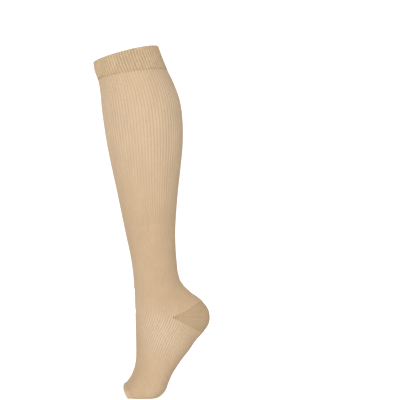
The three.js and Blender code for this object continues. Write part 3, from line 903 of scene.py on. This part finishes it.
class STOCKING_OT_stitching(bpy.types.Operator):
    """Sews the rows of stitches: under the band, along the heel pocket's edges and round the toe edge"""

    bl_idname = "stocking.stitching"
    bl_label = "Stitching"

    RING_POINTS = 720
    POCKET_POINTS = 400
    POCKET_INSET = 0.006  # the seams stop this short of the pocket's side points, as a share of the ring
    BAND_PLACE = 2.03  # just under the band
    TOE_PLACE = 29.99  # just behind the toe edge
    LOW = -0.25 * MM  # the seams of the plain pieces lie this far under the crests of the ribs
    OVER_FLOOR = 0.2 * MM

    def seam_line(self, name, shares, places, outward, closed):
        """A seam as a chain of edges that carries the cloth's outward direction."""
        points, normals = on_form(shares, places)
        points = points + normals * outward
        points[:, 2] = np.maximum(points[:, 2], FLOOR_Z + self.OVER_FLOOR)
        links = [(number, number + 1) for number in range(len(points) - 1)]
        if closed:
            links.append((len(points) - 1, 0))
        mesh = bpy.data.meshes.new(name)
        mesh.from_pydata([tuple(point) for point in points], links, [])
        layer = mesh.attributes.new("outward", "FLOAT_VECTOR", "POINT")
        layer.data.foreach_set("vector", normals.astype(np.float32).ravel())
        return mesh

    def execute(self, context):
        sizes = context.scene.stocking_sizes
        material = bpy.data.materials.new("Seam thread")
        material.use_nodes = True
        surface = material.node_tree.nodes["Principled BSDF"]
        surface.inputs["Base Color"].default_value = (*context.scene.stocking_colours.thread, 1)
        surface.inputs["Roughness"].default_value = 0.7
        surface.inputs["Specular IOR Level"].default_value = 0.3
        tree = shared_tree("Sew stitches", stitch_tree)
        ring = np.arange(self.RING_POINTS) / self.RING_POINTS
        start = POCKET_SHARE + self.POCKET_INSET
        half = np.linspace(start, 1 - start, self.POCKET_POINTS)
        # Columns: name, shares, places, outward, closed, stitch length, thread, slant, fill
        seams = (
            ("band_seam", ring, np.full(ring.shape, self.BAND_PLACE), 0.1 * MM, True, sizes.stitch,
             0.6 * MM, 0.5, 0.8),
            ("heel_top_seam", half, pocket_edge(half, POCKET_BACK_TOP), self.LOW, False, 2.2 * MM,
             0.35 * MM, 0.6, 0.8),
            ("heel_end_seam", half, pocket_edge(half, POCKET_BACK_END), self.LOW, False, 2.2 * MM,
             0.35 * MM, -0.6, 0.8),
            ("toe_seam", ring, np.full(ring.shape, self.TOE_PLACE), self.LOW, True, 2.4 * MM, 0.4 * MM,
             0.5, 0.8),
        )
        for seed, (name, shares, places, outward, closed, length, thread, slant, fill) in enumerate(seams):
            mesh = self.seam_line(name, shares, places, outward, closed)
            piece = built(name, mesh, tree, {
                "Stitch length": length, "Thread": thread, "Slant": slant, "Fill": fill, "Seed": seed,
                "Material": material})
            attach(piece, BODY)
        return {"FINISHED"}


class STOCKING_OT_studio(bpy.types.Operator):
    """Sets the pale sweep, the soft lights and the camera at the photograph's viewing angle"""

    bl_idname = "stocking.studio"
    bl_label = "Studio"

    # The middle of the photograph lies this far behind the middle of the opening and under it.
    VIEW_X = 111.4 * MM
    VIEW_Z = -218.5 * MM
    SENSOR = 36.0
    GLOW = 0.6  # the paper is lit from behind, as in a photograph with a white ground
    UNDER_STOCKING = 0.3 * MM
    AIR = 0.6  # strength of the even light from all round
    AIM_X = 0.03
    LIGHT_SIZE = (0.9, 1.4)
    # Columns: name, place with its height over the middle of the view, colour
    LIGHTS = (
        ("Key", (-0.35, -1.95, 0.12), (1, 0.985, 0.955)),
        ("Fill", (1.5, -1.3, 0.2), (1, 0.93, 0.85)),
        ("Back", (0.3, 2.3, 0.3), (1, 0.985, 0.955)),
    )

    def light(self, name, place, colour, power):
        """A large soft light that faces the middle of the view and that the camera doesn't see."""
        x, y, over = place
        data = bpy.data.lights.new(name, "AREA")
        data.shape = "RECTANGLE"
        data.size, data.size_y = self.LIGHT_SIZE
        data.energy = power
        data.color = colour
        light = bpy.data.objects.new(name, data)
        light.location = (x, y, self.VIEW_Z + over)
        light.visible_camera = False
        way = Vector((self.AIM_X, 0, self.VIEW_Z)) - light.location
        light.rotation_euler = way.to_track_quat("-Z", "Y").to_euler()
        bpy.context.scene.collection.objects.link(light)

    def sweep(self):
        """A round floor that curves up into a wall all round, out of the way of every view."""
        reach, rise, bend, bend_steps, sides = 3.6, 3.4, 0.9, 16, 64
        profile = [(0.001, 0.0), (reach - bend, 0.0)]
        for step in range(1, bend_steps + 1):
            angle = step / bend_steps * math.pi / 2
            profile.append((reach - bend + bend * math.sin(angle), bend - bend * math.cos(angle)))
        profile.append((reach, rise))
        turns = [side / sides * 2 * math.pi for side in range(sides)]
        bottom = FLOOR_Z - self.UNDER_STOCKING
        points = [
            (far * math.cos(turn), far * math.sin(turn), bottom + up)
            for far, up in profile for turn in turns
        ]
        faces = []
        for ring in range(len(profile) - 1):
            for side in range(sides):
                here, after = ring * sides + side, ring * sides + (side + 1) % sides
                faces.append((here, here + sides, after + sides, after))
        mesh = bpy.data.meshes.new("sweep")
        mesh.from_pydata(points, [], faces)
        mesh.polygons.foreach_set("use_smooth", [True] * len(faces))
        material = bpy.data.materials.new("Pale paper")
        material.use_nodes = True
        surface = material.node_tree.nodes["Principled BSDF"]
        surface.inputs["Base Color"].default_value = (0.92, 0.92, 0.92, 1)
        surface.inputs["Roughness"].default_value = 0.95
        surface.inputs["Specular IOR Level"].default_value = 0.1
        surface.inputs["Emission Color"].default_value = (1, 1, 1, 1)
        surface.inputs["Emission Strength"].default_value = self.GLOW
        mesh.materials.append(material)
        floor = bpy.data.objects.new("sweep", mesh)
        floor.visible_diffuse = False  # a black flag, in effect: the paper lights nothing but itself
        bpy.context.scene.collection.objects.link(floor)

    def execute(self, context):
        scene = context.scene
        studio = scene.stocking_studio
        self.sweep()
        world = bpy.data.worlds.new("Studio air")
        world.use_nodes = True
        world.node_tree.nodes["Background"].inputs["Color"].default_value = (1, 1, 1, 1)
        world.node_tree.nodes["Background"].inputs["Strength"].default_value = self.AIR
        scene.world = world
        powers = (studio.key_power, studio.fill_power, studio.back_power)
        for light, power in zip(self.LIGHTS, powers):
            self.light(*light, power)
        data = bpy.data.cameras.new("Camera")
        data.sensor_width = self.SENSOR
        data.lens = self.SENSOR * studio.distance / studio.view_width
        camera = bpy.data.objects.new("Camera", data)
        camera.location = (self.VIEW_X, -studio.distance, self.VIEW_Z)
        camera.rotation_euler = (math.pi / 2, 0, 0)
        scene.collection.objects.link(camera)
        scene.camera = camera
        scene.view_settings.view_transform = "Standard"
        return {"FINISHED"}


class STOCKING_PT_pieces(bpy.types.Panel):
    """Lists the pieces, their sizes and their colours"""

    bl_idname = "STOCKING_PT_pieces"
    bl_label = "Compression stocking"
    bl_space_type = "VIEW_3D"
    bl_region_type = "UI"
    bl_category = "Stocking"

    def draw(self, context):
        layout = self.layout
        for group in (context.scene.stocking_sizes, context.scene.stocking_colours,
                      context.scene.stocking_studio):
            column = layout.column(align=True)
            for name in group.__annotations__:
                column.prop(group, name)
        for operator in OPERATORS:
            layout.operator(operator.bl_idname)


OPERATORS = (
    STOCKING_OT_studio,
    STOCKING_OT_leg_and_foot,
    STOCKING_OT_top_band,
    STOCKING_OT_heel,
    STOCKING_OT_toe_edge,
    STOCKING_OT_stitching,
)
CLASSES = (StockingSizes, StockingColours, StudioSizes, *OPERATORS, STOCKING_PT_pieces)
GROUPS = {
    "stocking_sizes": StockingSizes,
    "stocking_colours": StockingColours,
    "stocking_studio": StudioSizes,
}


def register():
    for each in CLASSES:
        bpy.utils.register_class(each)
    for name, group in GROUPS.items():
        setattr(bpy.types.Scene, name, bpy.props.PointerProperty(type=group))


def unregister():
    for name in GROUPS:
        delattr(bpy.types.Scene, name)
    for each in reversed(CLASSES):
        bpy.utils.unregister_class(each)


def main():
    register()
    bpy.ops.stocking.studio()
    bpy.ops.stocking.leg_and_foot()
    bpy.ops.stocking.top_band()
    bpy.ops.stocking.heel()
    bpy.ops.stocking.toe_edge()
    bpy.ops.stocking.stitching()


if __name__ == "__main__":
    main()
